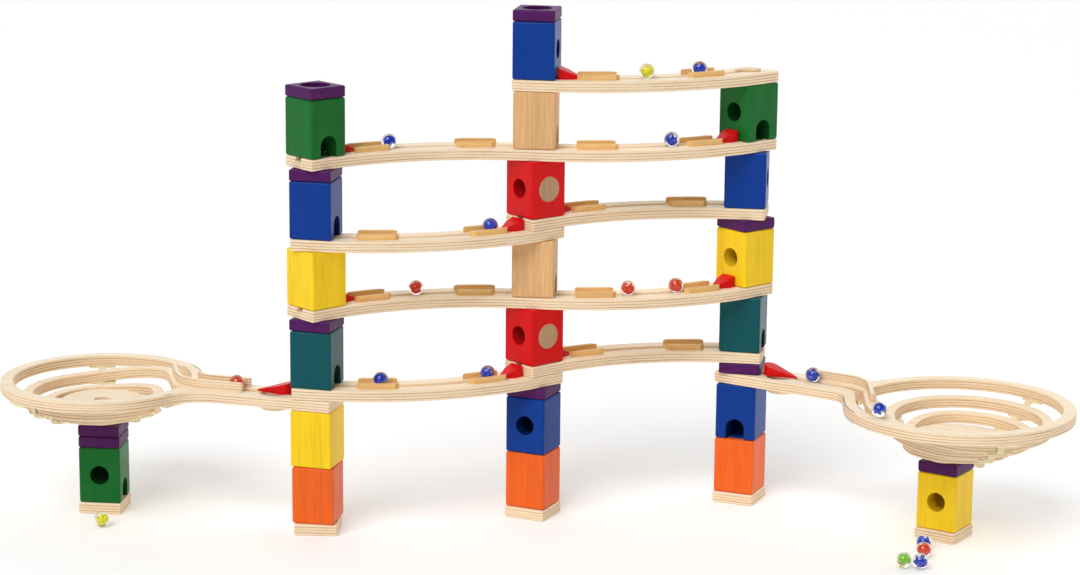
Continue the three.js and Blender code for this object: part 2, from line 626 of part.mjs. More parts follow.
// Marbles: name, point, height of the surface they roll on, colour
function onArc(start, side, distance) {
  return arcStation(makeArc(start, side), distance).point;
}
const funnelCentre = ahead(FAR_RIGHT, RIGHT_TRACK_HEADING, RIGHT_FUNNEL.offset);
const kerfRadius = RIGHT_FUNNEL.radius - RING_WIDTH - GROOVE_WIDTH / 2;
const MARBLES = [
  ['top_rail_yellow_marble', onArc(CENTER, 1, 114.5), level(6, 9), 'glass_yellow'],
  ['top_rail_blue_marble', onArc(CENTER, 1, 173.6), level(6, 9), 'glass_blue'],
  ['upper_long_rail_left_marble', onArc(LEFT, -1, 86), level(5, 8), 'glass_blue'],
  ['upper_long_rail_right_marble', onArc(CENTER, 1, 143), level(5, 8), 'glass_blue'],
  ['upper_left_rail_marble', onArc(LEFT, 1, 183), level(4, 6), 'glass_blue'],
  ['lower_long_rail_left_marble', onArc(LEFT, -1, 115), level(3, 5), 'glass_red'],
  ['lower_long_rail_middle_marble', onArc(CENTER, 1, 98), level(3, 5), 'glass_red'],
  ['lower_long_rail_right_marble', onArc(CENTER, 1, 151), level(3, 5), 'glass_red'],
  ['lower_left_rail_first_marble', onArc(LEFT, 1, 66), level(2, 3), 'glass_blue'],
  ['lower_left_rail_second_marble', onArc(LEFT, 1, 181), level(2, 3), 'glass_blue'],
  ['left_track_marble', ahead(LEFT, LEFT_TRACK_HEADING, 89), level(2, 2), 'glass_red'],
  ['right_track_marble', ahead(RIGHT, RIGHT_TRACK_HEADING, 85), level(2, 2), 'glass_blue'],
  ['right_funnel_marble', ahead(funnelCentre, 208, kerfRadius), level(2, 2), 'glass_blue'],
];
for (const [name, point, surface, colour] of MARBLES) {
  const ball = toSolid(new THREE.SphereGeometry(MARBLE_RADIUS, 10, 6));
  const marble = addMesh(name, ball, colour, 0.05);
  marble.position.set(point[0], point[1], surface - SEAT_GAP + MARBLE_LIFT);
}

export default group;
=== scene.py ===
import math

import bmesh
import bpy
from mathutils import Matrix, Vector
from mathutils.geometry import delaunay_2d_cdt


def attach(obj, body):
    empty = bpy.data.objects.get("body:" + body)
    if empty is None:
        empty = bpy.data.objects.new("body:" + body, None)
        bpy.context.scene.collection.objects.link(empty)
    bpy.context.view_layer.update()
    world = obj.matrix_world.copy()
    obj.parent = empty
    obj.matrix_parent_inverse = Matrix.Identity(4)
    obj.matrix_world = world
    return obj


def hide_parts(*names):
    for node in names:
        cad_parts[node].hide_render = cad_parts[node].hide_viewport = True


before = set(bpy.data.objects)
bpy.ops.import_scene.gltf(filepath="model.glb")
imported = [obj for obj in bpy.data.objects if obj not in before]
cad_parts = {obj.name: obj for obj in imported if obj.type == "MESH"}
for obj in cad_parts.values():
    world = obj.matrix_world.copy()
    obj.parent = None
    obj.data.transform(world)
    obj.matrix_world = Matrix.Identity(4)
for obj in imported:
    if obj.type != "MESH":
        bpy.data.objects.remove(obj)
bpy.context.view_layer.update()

# Dimensions in millimetres and degrees, the same as the CAD's where it has them --------------
MM = 0.001
BLOCK_WIDTH, BLOCK_HEIGHT, STEP_HEIGHT, BASE_WIDTH = 44.0, 60.0, 12.0, 45.0
SEAT_GAP = 0.3
PLY = STEP_HEIGHT - SEAT_GAP
PEG_RADIUS, PEG_DEPTH, SOCKET_RADIUS, SOCKET_DEPTH, BORE_RADIUS = 14.5, 5.0, 15.2, 5.6, 9.0
EXIT_RADIUS, EXIT_CENTRE, MOUTH_SIDE, CATCH_FLOOR = 10.0, 30.0, 12.0, 16.0
BLOCK_EDGE, ADJUSTER_EDGE, BASE_EDGE, HOLE_RIM = 2.2, 1.8, 1.0, 0.7
# How much narrower a hole is inside than at its rim. A window is too narrow inside for a marble
EXIT_NECK, MOUTH_NECK, WINDOW_NECK = 0.8, 1.8, 3.8
# How far in from the outer faces the painted shade on the bore walls begins
PAINTED_SHADE_INSET = 1.6
PLUG_RADIUS, PLUG_DEPTH, PLUG_STAND, PLUG_EDGE = 13.2, 2.0, 0.35, 0.4
TOWER_SPACING, LINE_HEADING, TRACK_LENGTH = 232.0, 14.5, 242.0
LEFT_TRACK_HEADING, RIGHT_TRACK_HEADING = 162.0, -33.5
ARC_HALF_ANGLE = 26.0
GROOVE_WIDTH, GROOVE_DEPTH = 9.0, 4.5
GUARD_INNER, GUARD_OUTER, GUARD_HEIGHT, GUARD_START, GUARD_END = 9.1, 14.1, 5.5, 42.0, 84.0
GLUE_DEPTH = 0.4
RAMP_HEIGHT, RAMP_WIDTH, RAMP_SHOULDER, RAMP_TIP_WIDTH, RAMP_TIP_HEIGHT = 12.0, 18.0, 10.0, 3.0, 1.5
SHORT_RAMP, LONG_RAMP = (23.5, 26.0), (28.0, 38.0)
LEFT_FUNNEL = {"radius": 106.0, "offset": 0.0, "drop": 2, "front_wall": True, "ties": (58, 160, 295),
               "stages": ((0, 0.6), (0.95, 0.4))}
RIGHT_FUNNEL = {"radius": 119.0, "offset": 12.0, "drop": 3, "front_wall": False, "ties": (69, 181, 320),
                "stages": ((0, 0.4), (0.95, 0.32), (1.75, 0.28))}
RING_CORNER, BEND_CORNER = 48.0, 22.0
RING_WIDTH, STRIP_WIDTH, HUB_RADIUS = 13.5, 11.0, 21.0
LEAD_TURN, LEAD_RADIUS, STRIP_TURNS, LANE_CHANGE = 60, 30.0, 2.1, 0.3
DROP_RUN = 0.3
RING_SIDES, STRIP_STEP, STRIP_START = 120, 3, 3
WALL_HEIGHT, WALL_START = 10.0, 80.0
MARBLE_RADIUS, MARBLE_LIFT = 8.0, 6.9
VANE_RADIUS, VANE_GROWTH, VANE_TWIST = 4.4, 0.6, 75


def cosine(angle):
    return math.cos(math.radians(angle))


def sine(angle):
    return math.sin(math.radians(angle))


def ahead(point, heading, distance):
    return (point[0] + distance * cosine(heading), point[1] + distance * sine(heading))


def level(blocks, steps):
    return blocks * BLOCK_HEIGHT + steps * STEP_HEIGHT


def smooth(t):
    t = min(max(t, 0.0), 1.0)
    return t * t * (3 - 2 * t)


CENTER = (0.0, 0.0)
LEFT = ahead(CENTER, LINE_HEADING, -TOWER_SPACING)
RIGHT = ahead(CENTER, LINE_HEADING, TOWER_SPACING)
FAR_LEFT = ahead(LEFT, LEFT_TRACK_HEADING, TRACK_LENGTH)
FAR_RIGHT = ahead(RIGHT, RIGHT_TRACK_HEADING, TRACK_LENGTH)


# Materials -----------------------------------------------------------------------------------
def linear(*rgb):
    """A colour given as it looks on screen, 0 to 255, as linear light."""
    out = [c / 255 / 12.92 if c <= 10 else ((c / 255 + 0.055) / 1.055) ** 2.4 for c in rgb]
    return (*out, 1.0)


def scaled(colour, factor):
    return (*[min(c * factor, 1.0) for c in colour[:3]], 1.0)


class Shader:
    """A new material and the few node calls that the finishes need."""

    def __init__(self, name):
        self.material = bpy.data.materials.new(name)
        self.material.use_nodes = True
        self.tree = self.material.node_tree
        self.tree.nodes.clear()
        self.surface = self.add("ShaderNodeBsdfPrincipled")
        output = self.add("ShaderNodeOutputMaterial")
        self.tree.links.new(self.surface.outputs[0], output.inputs["Surface"])

    def add(self, kind, **values):
        node = self.tree.nodes.new(kind)
        for key, value in values.items():
            setattr(node, key, value)
        return node

    def put(self, node, name, value):
        socket = node.inputs[name]
        if isinstance(value, bpy.types.NodeSocket):
            self.tree.links.new(value, socket)
        else:
            socket.default_value = value

    def math(self, operation, a, b=0.0, c=0.0):
        node = self.add("ShaderNodeMath", operation=operation)
        for i, value in enumerate((a, b, c)):
            self.put(node, i, value)
        return node.outputs[0]

    def attribute(self, name, output="Fac"):
        return self.add("ShaderNodeAttribute", attribute_name=name).outputs[output]

    def noise(self, stretch, detail=3.0, roughness=0.55, shift=0.0):
        """Noise over the piece's own coordinates, different on each piece."""
        mapping = self.add("ShaderNodeMapping")
        self.put(mapping, "Vector", self.attribute("grain", "Vector"))
        self.put(mapping, "Scale", stretch)
        node = self.add("ShaderNodeTexNoise", noise_dimensions="4D")
        self.put(node, "Vector", mapping.outputs[0])
        self.put(node, "W", self.math("ADD", self.attribute("seed"), shift))
        self.put(node, "Scale", 1.0)
        self.put(node, "Detail", detail)
        self.put(node, "Roughness", roughness)
        return node.outputs["Fac"]

    def ramp(self, factor, stops):
        node = self.add("ShaderNodeValToRGB")
        elements = node.color_ramp.elements
        while len(elements) < len(stops):
            elements.new(0.5)
        for element, (position, colour) in zip(elements, stops):
            element.position = position
            element.color = colour
        self.put(node, "Fac", factor)
        return node.outputs["Color"]

    def mix(self, factor, a, b):
        node = self.add("ShaderNodeMix", data_type="RGBA")
        self.put(node, 0, factor)
        self.put(node, 6, a)
        self.put(node, 7, b)
        return node.outputs[2]

    def bump(self, height, strength, distance):
        node = self.add("ShaderNodeBump")
        self.put(node, "Strength", strength)
        self.put(node, "Distance", distance)
        self.put(node, "Height", height)
        self.put(self.surface, "Normal", node.outputs[0])


def grey(value):
    return (value, value, value, 1.0)


def painted_wood(name, colour, grain, gloss=0.34, flat=False):
    """Stained and lacquered wood. The grain runs up a block, or along a flat adjuster."""
    s = Shader(name)
    fine = (38.0, 520.0, 520.0) if flat else (520.0, 520.0, 22.0)
    broad = (9.0, 90.0, 90.0) if flat else (80.0, 80.0, 7.0)
    streaks = s.noise(fine, detail=4.0)
    figure = s.noise(broad, detail=2.0, shift=7.3)
    blotch = s.noise((28.0, 28.0, 28.0), detail=2.0, shift=3.1)
    tone = s.math("MULTIPLY_ADD", streaks, 0.45, s.math("MULTIPLY", figure, 0.4))
    tone = s.math("ADD", tone, s.math("MULTIPLY", blotch, 0.15))
    dark, light = scaled(colour, 1 - 1.5 * grain), scaled(colour, 1 + grain)
    s.put(s.surface, "Base Color", s.ramp(tone, [(0.33, dark), (0.5, colour), (0.67, light)]))
    rough = s.math("MULTIPLY_ADD", streaks, 0.16, gloss - 0.08)
    s.put(s.surface, "Roughness", rough)
    s.put(s.surface, "Specular IOR Level", 0.16)
    s.bump(s.math("ADD", streaks, s.math("MULTIPLY", figure, 0.6)), 0.12, 0.0004)
    return s.material


def natural_wood(name, colour, dark, grain_along=(700.0, 700.0, 30.0)):
    """Bare beech or rubberwood: broad figure, and short dark pores along the grain."""
    s = Shader(name)
    upright = grain_along[2] < grain_along[0]
    figure = s.noise((70.0, 70.0, 5.0) if upright else (6.0, 60.0, 60.0), detail=3.0, shift=2.0)
    streaks = s.noise(grain_along, detail=4.0)
    pores = s.noise(tuple(c * 1.7 if c > 100 else c * 1.3 for c in grain_along), detail=2.0, shift=11.0)
    body = s.ramp(figure, [(0.3, scaled(colour, 0.86)), (0.5, colour), (0.7, scaled(colour, 1.1))])
    body = s.mix(s.math("MULTIPLY", s.ramp(streaks, [(0.35, grey(1)), (0.6, grey(0))]), 0.35), body, dark)
    specks = s.ramp(pores, [(0.64, grey(0)), (0.72, grey(1))])
    s.put(s.surface, "Base Color", s.mix(s.math("MULTIPLY", specks, 0.5), body, scaled(dark, 0.75)))
    s.put(s.surface, "Roughness", s.math("MULTIPLY_ADD", streaks, 0.2, 0.4))
    s.put(s.surface, "Specular IOR Level", 0.3)
    s.bump(s.math("SUBTRACT", streaks, specks), 0.15, 0.0003)
    return s.material


def plywood(name, face, light, dark):
    """Pale birch plywood: faint veneer grain on the faces, and plies on the cut edges."""
    s = Shader(name)
    veneer = s.noise((14.0, 260.0, 260.0), detail=4.0)
    cloud = s.noise((16.0, 30.0, 30.0), detail=2.0, shift=5.0)
    top = s.ramp(veneer, [(0.3, scaled(face, 0.86)), (0.52, face), (0.75, scaled(face, 1.06))])
    top = s.mix(s.math("MULTIPLY", s.ramp(cloud, [(0.45, grey(0)), (0.75, grey(1))]), 0.3), top, light)
    height = s.math("DIVIDE", s.attribute("ply"), PLY)
    wobble = s.noise((40.0, 40.0, 40.0), detail=1.0, shift=8.0)
    height = s.math("ADD", height, s.math("MULTIPLY_ADD", wobble, 0.03, -0.015))
    mid = tuple((a + b) / 2 for a, b in zip(light, dark))
    plies = s.ramp(height, [
        (0.0, light), (0.185, light), (0.215, dark), (0.275, dark), (0.30, light), (0.43, light),
        (0.455, mid), (0.485, dark), (0.53, mid), (0.555, light), (0.69, light), (0.715, dark),
        (0.775, dark), (0.80, light), (1.0, light)])
    ends = s.noise((320.0, 320.0, 500.0), detail=3.0, shift=4.0)
    along = s.noise((22.0, 22.0, 160.0), detail=2.0, shift=6.0)
    faded = s.mix(s.math("MULTIPLY", s.ramp(along, [(0.35, grey(0)), (0.65, grey(1))]), 0.6), plies, light)
    speckled = s.mix(s.math("MULTIPLY", s.ramp(ends, [(0.5, grey(0)), (0.8, grey(1))]), 0.25), faded, dark)
    split = s.add("ShaderNodeSeparateXYZ")
    s.put(split, 0, s.add("ShaderNodeTexCoord").outputs["Normal"])
    flatness = s.math("ABSOLUTE", split.outputs["Z"])
    facing = s.ramp(flatness, [(0.5, grey(0)), (0.8, grey(1))])
    s.put(s.surface, "Base Color", s.mix(facing, speckled, top))
    s.put(s.surface, "Roughness", s.math("MULTIPLY_ADD", ends, 0.18, 0.42))
    s.put(s.surface, "Specular IOR Level", 0.3)
    s.bump(s.math("ADD", veneer, s.math("MULTIPLY", ends, 0.5)), 0.1, 0.0003)
    return s.material


def clear_glass(name):
    s = Shader(name)
    flow = s.noise((120.0, 120.0, 120.0), detail=1.0)
    s.put(s.surface, "Base Color", s.ramp(flow, [(0.0, (0.93, 0.97, 0.96, 1)), (1.0, (1, 1, 1, 1))]))
    s.put(s.surface, "Roughness", 0.01)
    s.put(s.surface, "IOR", 1.5)
    s.put(s.surface, "Transmission Weight", 1.0)
    return s.material


def vane_glass(name, colour, painted_glow=0.0):
    """The coloured ribbons inside a marble, with a faint painted glow standing in for light shining through
    them.
    """
    s = Shader(name)
    swirl = s.noise((240.0, 240.0, 90.0), detail=2.0)
    stops = [(0.3, scaled(colour, 0.7)), (0.6, colour), (0.8, scaled(colour, 1.3))]
    s.put(s.surface, "Base Color", s.ramp(swirl, stops))
    s.put(s.surface, "Roughness", 0.25)
    # Painted light: the ribbons glow a little, standing in for light passing through the glass
    s.put(s.surface, "Emission Color", colour)
    s.put(s.surface, "Emission Strength", painted_glow)
    return s.material


PAINTS = {
    "orange": linear(236, 100, 30), "yellow": linear(247, 206, 30), "teal": linear(0, 80, 86),
    "blue": linear(0, 54, 140), "green": linear(14, 104, 38), "red": linear(214, 4, 10),
}
GRAINS = {"orange": 0.12, "yellow": 0.11, "teal": 0.1, "blue": 0.07, "green": 0.14, "red": 0.06}
PAINTED = {c: painted_wood("paint_" + c, PAINTS[c], GRAINS[c]) for c in PAINTS}
# The stain is darker and duller in the holes
# Painted shade: the walls deep in the holes get a darker, duller copy of the paint, standing in for the shade
# inside them
HOLE_PAINTED_SHADE = {"orange": 0.6, "yellow": 0.78, "teal": 0.45, "blue": 0.45, "green": 0.42, "red": 0.62}
PAINTED_SHADE_BORE = {c: painted_wood("painted_shade_bore_" + c, scaled(PAINTS[c], HOLE_PAINTED_SHADE[c]), GRAINS[c], 0.6) for c in PAINTS}
PURPLE = painted_wood("paint_purple", linear(78, 20, 88), 0.14, 0.42, flat=True)
BEECH = natural_wood("natural_beech", linear(224, 178, 124), linear(176, 120, 72))
STRIP_WOOD = natural_wood("strip_wood", linear(240, 196, 128), linear(208, 148, 78), (40.0, 420.0, 420.0))
PLUG_WOOD = natural_wood("plug_wood", linear(188, 150, 116), linear(150, 112, 80))
TIE_WOOD = natural_wood("tie_wood", linear(242, 226, 186), linear(226, 204, 156))
BIRCH = plywood("birch_plywood", linear(250, 232, 204), linear(244, 220, 186), linear(192, 152, 110))
GLASS = clear_glass("marble_glass")
# The last number is each ribbon colour's painted glow
VANES = {
    "blue": vane_glass("vane_blue", linear(12, 62, 200), 0.18),
    "red": vane_glass("vane_red", linear(236, 62, 22), 0.15),
    "yellow": vane_glass("vane_yellow", linear(240, 232, 20), 0.2),
    "green": vane_glass("vane_green", linear(150, 222, 70), 0.15),
}


# Mesh code -----------------------------------------------------------------------------------
class Shape:
    """Points in millimetres, faces, and how high up the plywood each point lies."""

    def __init__(self):
        self.points, self.faces, self.ply = [], [], []

    def add(self, points, faces, ply=None, tilt=None):
        start = len(self.points)
        placed = [tilt @ Vector(p) for p in points] if tilt else [Vector(p) for p in points]
        self.points += placed
        self.ply += list(ply) if ply else [p.z for p in placed]
        self.faces += [tuple(start + i for i in f) for f in faces]
        return self


def build(shape, name):
    mesh = bpy.data.meshes.new(name)
    mesh.from_pydata([p * MM for p in shape.points], [], shape.faces)
    layer = mesh.attributes.new("ply", "FLOAT", "POINT")
    layer.data.foreach_set("value", shape.ply)
    fixed = bmesh.new()
    fixed.from_mesh(mesh)
    bmesh.ops.recalc_face_normals(fixed, faces=fixed.faces)
    fixed.to_mesh(mesh)
    fixed.free()
    piece = bpy.data.objects.new(name, mesh)
    bpy.context.scene.collection.objects.link(piece)
    return piece


def applied(piece, modifiers):
    """Runs modifiers, given as (kind, values), and keeps only their result."""
    for kind, values in modifiers:
        modifier = piece.modifiers.new(kind.lower(), kind)
        for key, value in values.items():
            setattr(modifier, key, value)
    graph = bpy.context.evaluated_depsgraph_get()
    result = bpy.data.meshes.new_from_object(piece.evaluated_get(graph))
    piece.modifiers.clear()
    piece.data = result


SEED_STEP = 3.7
seeds = iter(range(1, 1000))


def finish(piece, material, body, place=(0, 0, 0), turn=0.0, sharp=38.0, stands_for=()):
    """Smooths, seeds the grain, puts the piece in its place and hangs it on its body."""
    mesh = piece.data
    for m in material if isinstance(material, list) else [material]:
        mesh.materials.append(m)
    grain = mesh.attributes.new("grain", "FLOAT_VECTOR", "POINT")
    grain.data.foreach_set("vector", [c for v in mesh.vertices for c in v.co])
    mesh.transform(Matrix.Rotation(math.radians(turn), 4, "Z"))
    mesh.shade_smooth()
    mesh.set_sharp_from_angle(angle=math.radians(sharp))
    applied(piece, [("WEIGHTED_NORMAL", {"keep_sharp": True, "weight": 50})])
    mesh = piece.data
    seed = mesh.attributes.new("seed", "FLOAT", "POINT")
    number = next(seeds) * SEED_STEP
    seed.data.foreach_set("value", [number] * len(mesh.vertices))
    piece.location = Vector(place) * MM
    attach(piece, body)
    if stands_for:
        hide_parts(*stands_for)


def circle(centre, radius, sides=64):
    return [ahead(centre, 360 * i / sides, radius) for i in range(sides)]


def loft(rings, closed=False):
    """A skin over rings of points, with flat caps at its ends unless it closes on itself."""
    size, count = len(rings[0]), len(rings)
    faces = []
    for i in range(count if closed else count - 1):
        a, b = i * size, (i + 1) % count * size
        faces += [(a + j, a + (j + 1) % size, b + (j + 1) % size, b + j) for j in range(size)]
    if not closed:
        faces += [tuple(range(size)), tuple(range((count - 1) * size, count * size))]
    points = [p for ring in rings for p in ring]
    return points, faces


def lathe(profile, sides=48):
    """Turns (radius, height) points round the z axis. A radius of 0 closes an end."""
    spokes = [360 * i / sides for i in range(sides)]
    return loft([[(*ahead((0, 0), spoke, max(r, 0.01)), z) for spoke in spokes] for r, z in profile])


def slab(solids, holes, bottom, top, round_bottom=0.0, round_top=0.0):
    """A flat piece from the union of outlines less some holes, with rounded rims.
    top is a height, or a function of (x, y) for a sloping face."""
    points, faces = [], []
    for outline in list(solids) + list(holes):
        start = len(points)
        points += [Vector(p) for p in outline]
        order = list(range(start, start + len(outline)))
        area = sum(points[a].cross(points[b]) for a, b in zip(order, order[1:] + order[:1]))
        faces.append(order if area > 0 else order[::-1])
    flat, _, triangles, _, _, owners = delaunay_2d_cdt(points, [], faces, 1, 1e-3, True)
    kept = [t for t, who in zip(triangles, owners)
            if any(i < len(solids) for i in who) and all(i < len(solids) for i in who)]
    edges = {(t[i], t[(i + 1) % 3]) for t in kept for i in range(3)}
    border = [(a, b) for a, b in edges if (b, a) not in edges]
    following = dict(border)
    leading = {b: a for a, b in border}
    inward = {}
    for v in following:
        before = (flat[v] - flat[leading[v]]).normalized()
        after = (flat[following[v]] - flat[v]).normalized()
        n1, n2 = Vector((-before.y, before.x)), Vector((-after.y, after.x))
        inward[v] = (n1 + n2) / max(1 + n1.dot(n2), 0.5)
    roof = top if callable(top) else (lambda x, y: top)
    midway = 0.293
    levels = []
    for share, rise in ((1, 0), (midway, midway), (0, 1)) if round_bottom else ((0, 0),):
        levels.append((share * round_bottom, rise * round_bottom, False))
    for share, rise in ((0, 1), (midway, midway), (1, 0)) if round_top else ((0, 0),):
        levels.append((share * round_top, rise * round_top, True))
    out, index = [], {}
    for k, (inset, rise, upper) in enumerate(levels):
        for v in following:
            x, y = flat[v] + inward[v] * inset
            z = roof(x, y) - rise if upper else bottom + rise
            index[v, k] = len(out)
            out.append((x, y, z))
    last = len(levels) - 1
    for t in kept:
        for v in t:
            if v not in following and (v, 0) not in index:
                x, y = flat[v]
                index[v, 0], index[v, last] = len(out), len(out) + 1
                out += [(x, y, bottom), (x, y, roof(x, y))]
    skin = [tuple(index[v, last] for v in t) for t in kept]
    skin += [tuple(index[v, 0] for v in reversed(t)) for t in kept]
    for a, b in border:
        skin += [(index[a, k], index[b, k], index[b, k + 1], index[a, k + 1]) for k in range(last)]
    return out, skin


def peg(shape, bottom, inner=BORE_RADIUS):
    edge = 0.6
    profile = [(inner, bottom + 1), (inner, bottom - PEG_DEPTH), (PEG_RADIUS - edge, bottom - PEG_DEPTH),
               (PEG_RADIUS, bottom - PEG_DEPTH + edge), (PEG_RADIUS, bottom + 1)]
    rings = [[(*ahead((0, 0), 360 * i / 48, r), z) for i in range(48)] for r, z in profile]
    points, faces = loft(rings, closed=True)
    return shape.add(points, faces, ply=[bottom] * len(points))


# Blocks, adjusters and bases -----------------------------------------------------------------
def rounded_box(width, height, edge):
    box = bmesh.new()
    bmesh.ops.create_cube(box, size=1.0)
    for v in box.verts:
        v.co = Vector((v.co.x * width, v.co.y * width, (v.co.z + 0.5) * height))
    bmesh.ops.bevel(box, geom=box.edges[:], offset=edge, segments=4, profile=0.5, affect="EDGES")
    shape = Shape().add([v.co.copy() for v in box.verts], [[v.index for v in f.verts] for f in box.faces])
    box.free()
    return shape


def side_cutter(outline, heading, reach, neck):
    """A hole from the middle out through one face, with a softened rim, and narrower inside by the neck.
    outline takes how far it grows."""
    along = Vector((cosine(heading), sine(heading), 0))
    across = Vector((-sine(heading), cosine(heading), 0))
    rim = HOLE_RIM
    stages = [(-4, -neck), (reach - 12, -neck), (reach - 3, 0), (reach - rim, 0)]
    stages += [(reach - 0.3 * rim, 0.3 * rim), (reach, rim), (reach + 2, rim + 2)]
    rings = []
    for distance, grow in stages:
        rings.append([along * distance + across * a + Vector((0, 0, z)) for a, z in outline(grow)])
    return Shape().add(*loft(rings))


def exit_outline(grow):
    return circle((0, EXIT_CENTRE), EXIT_RADIUS + grow, 48)


def mouth_outline(grow):
    arch = [ahead((0, MOUTH_SIDE), 180 * i / 24, EXIT_RADIUS + grow) for i in range(25)]
    return [(-EXIT_RADIUS - grow, -3), (EXIT_RADIUS + grow, -3), *arch]


def socket_cutter(top, floor):
    rim, seat = HOLE_RIM, top - SOCKET_DEPTH
    profile = [(0, floor), (BORE_RADIUS, floor), (BORE_RADIUS, seat), (SOCKET_RADIUS, seat)]
    profile += [(SOCKET_RADIUS, top - rim), (SOCKET_RADIUS + 0.3 * rim, top - 0.3 * rim)]
    profile += [(SOCKET_RADIUS + rim, top), (SOCKET_RADIUS + rim + 2, top + 2), (0, top + 2)]
    return Shape().add(*lathe(profile))


def stacking_piece(name, width, height, edge, floor, sides, with_peg=True):
    """A box that stacks: socket on top, bore, side holes, and the peg under it."""
    piece = build(rounded_box(width, height, edge), name)
    cutters = [build(socket_cutter(height, floor), "cutter")] + [build(s, "cutter") for s in sides]
    cuts = [("BOOLEAN", {"operation": "DIFFERENCE", "solver": "EXACT", "object": c}) for c in cutters]
    applied(piece, cuts)
    for c in cutters:
        bpy.data.objects.remove(c)
    whole = bmesh.new()
    whole.from_mesh(piece.data)
    if with_peg:
        extra = build(peg(Shape(), 0.0), "peg")
        whole.from_mesh(extra.data)
        bpy.data.objects.remove(extra)
    whole.to_mesh(piece.data)
    whole.free()
    ply = piece.data.attributes.get("ply") or piece.data.attributes.new("ply", "FLOAT", "POINT")
    ply.data.foreach_set("value", [v.co.z / MM for v in piece.data.vertices])
    return piece


def bore_walls(piece, reach, height):
    """The faces that lie well inside a block's outer faces, which get the darker copy of the paint as painted
    shade.
    """
    depth = PAINTED_SHADE_INSET * MM
    side, low, high = reach * MM - depth, depth, height * MM - depth
    inside = [f for f in piece.data.polygons if max(abs(f.center.x), abs(f.center.y)) < side]
    return [f for f in inside if low < f.center.z < high]


BLOCKS = [
    ("left_orange_block", LEFT, 0, 1, -12, "orange", [], []),
    ("left_lower_yellow_block", LEFT, 1, 1, -17, "yellow", [], []),
    ("left_teal_block", LEFT, 2, 3, -16, "teal", [], [-16]),
    ("left_upper_yellow_block", LEFT, 3, 5, 41, "yellow", [], [41]),
    ("left_blue_block", LEFT, 4, 6, -14, "blue", [], [-14]),
    ("left_green_block", LEFT, 5, 8, 41, "green", [], [41, -49]),
    ("center_orange_block", CENTER, 0, 1, -26, "orange", [], []),
    ("center_lower_blue_block", CENTER, 1, 1, -26, "blue", [-116], []),
    ("center_lower_red_block", CENTER, 2, 4, 40, "red", [40, 220], []),
    ("center_lower_natural_block", CENTER, 3, 5, -7, "natural", [], [-7, 173]),
    ("center_upper_red_block", CENTER, 4, 7, 38, "red", [38, 218], []),
    ("center_upper_natural_block", CENTER, 5, 8, -7, "natural", [], [-7, 173]),
    ("center_top_blue_block", CENTER, 6, 9, -11, "blue", [-11], []),
    ("right_orange_block", RIGHT, 0, 1, -24, "orange", [], []),
    ("right_lower_blue_block", RIGHT, 1, 1, -22, "blue", [], [-112]),
    ("right_teal_block", RIGHT, 2, 4, -16, "teal", [], [-16]),
    ("right_yellow_block", RIGHT, 3, 5, 40, "yellow", [220], []),
    ("right_upper_blue_block", RIGHT, 4, 7, -10, "blue", [-10], []),
    ("right_green_block", RIGHT, 5, 8, 40, "green", [220], [-50]),
    ("far_left_green_block", FAR_LEFT, 0, 1, -7, "green", [-97], [-7]),
    ("far_right_yellow_block", FAR_RIGHT, 0, 1, -34, "yellow", [-124], []),
]
for name, tower, blocks, steps, face, colour, exits, mouths in BLOCKS:
    reach = BLOCK_WIDTH / 2
    sides = [side_cutter(exit_outline, heading - face, reach, EXIT_NECK) for heading in exits]
    for heading in mouths:
        # A second mouth, round the corner from the ramp's, is a window
        neck = WINDOW_NECK if len(mouths) > 1 and heading == face - 90 else MOUTH_NECK
        sides.append(side_cutter(mouth_outline, heading - face, reach, neck))
    floor = -PEG_DEPTH - 1
    if exits:
        floor = CATCH_FLOOR
    if mouths:
        floor = -1.0
    piece = stacking_piece(name + "_look", BLOCK_WIDTH, BLOCK_HEIGHT - SEAT_GAP, BLOCK_EDGE, floor, sides)
    paints = [BEECH] if colour == "natural" else [PAINTED[colour], PAINTED_SHADE_BORE[colour]]
    # Bore and socket walls take the darker copy of the paint: painted shade for the shade inside the holes
    if colour != "natural":
        for wall in bore_walls(piece, reach, BLOCK_HEIGHT - SEAT_GAP):
            wall.material_index = 1
    finish(piece, paints, name, (*tower, level(blocks, steps)), face, stands_for=[name])

ADJUSTERS = [
    ("left_lower_adjuster", LEFT, 3, 3, -19), ("left_middle_adjuster", LEFT, 5, 6, -14),
    ("left_top_adjuster", LEFT, 6, 8, 41), ("center_lower_adjuster", CENTER, 2, 1, -25),
    ("center_top_adjuster", CENTER, 7, 9, -11), ("right_lower_adjuster", RIGHT, 2, 2, -14),
    ("right_upper_adjuster", RIGHT, 4, 5, 38), ("far_left_lower_adjuster", FAR_LEFT, 1, 1, -7),
    ("far_left_upper_adjuster", FAR_LEFT, 1, 2, -8), ("far_right_adjuster", FAR_RIGHT, 1, 1, -34),
]
for name, tower, blocks, steps, face in ADJUSTERS:
    piece = stacking_piece(name + "_look", BLOCK_WIDTH, PLY, ADJUSTER_EDGE, -PEG_DEPTH - 1, [])
    place = (*tower, level(blocks, steps))
    finish(piece, PURPLE, name, place, face, stands_for=[name])

for name, tower, face in [("left_base", LEFT, -4), ("center_base", CENTER, -26), ("right_base", RIGHT, -25),
                          ("far_left_base", FAR_LEFT, -8), ("far_right_base", FAR_RIGHT, -35)]:
    socket_floor = PLY - SOCKET_DEPTH - 0.1
    piece = stacking_piece(name + "_look", BASE_WIDTH, PLY, BASE_EDGE, socket_floor, [], with_peg=False)
    finish(piece, BIRCH, "frame", (*tower, 0), face, stands_for=[name])

